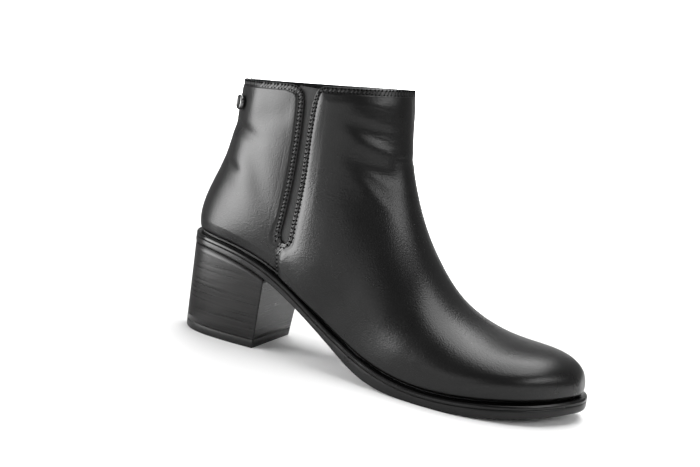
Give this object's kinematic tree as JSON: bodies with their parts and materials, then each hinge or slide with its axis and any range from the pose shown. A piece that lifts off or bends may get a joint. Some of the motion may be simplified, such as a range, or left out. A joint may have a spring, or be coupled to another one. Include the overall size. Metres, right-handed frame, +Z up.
{
  "type": "ankle boot",
  "caption": "Right ankle boot with a hollow leather upper, an elastic side gore, a round toe, a thin welted sole and a stacked block heel with a rubber top piece.",
  "frame": {"origin": "bottom centre of the bounding box, on the floor the boot stands on", "axes": "+X from the heel to the toe, +Y to the inner side of the foot, +Z up"},
  "size_m": [0.2444, 0.0824, 0.1597],
  "materials": {
    "upper": "smooth, semi-gloss",
    "gore": "ribbed elastic, matt",
    "welt": "dressed edge, glossy",
    "outsole": "smooth edge, satin",
    "heel": "stacked layers, dressed and polished",
    "top_piece": "matt",
    "insole": "matt lining leather",
    "stud": "dark polished metal"
  },
  "bodies": {
    "root": {"upper": "upper", "gore": "gore", "welt": "welt", "outsole": "outsole", "heel": "heel", "top_piece": "top_piece", "insole": "insole", "stud": "stud"}
  },
  "joints": []
}
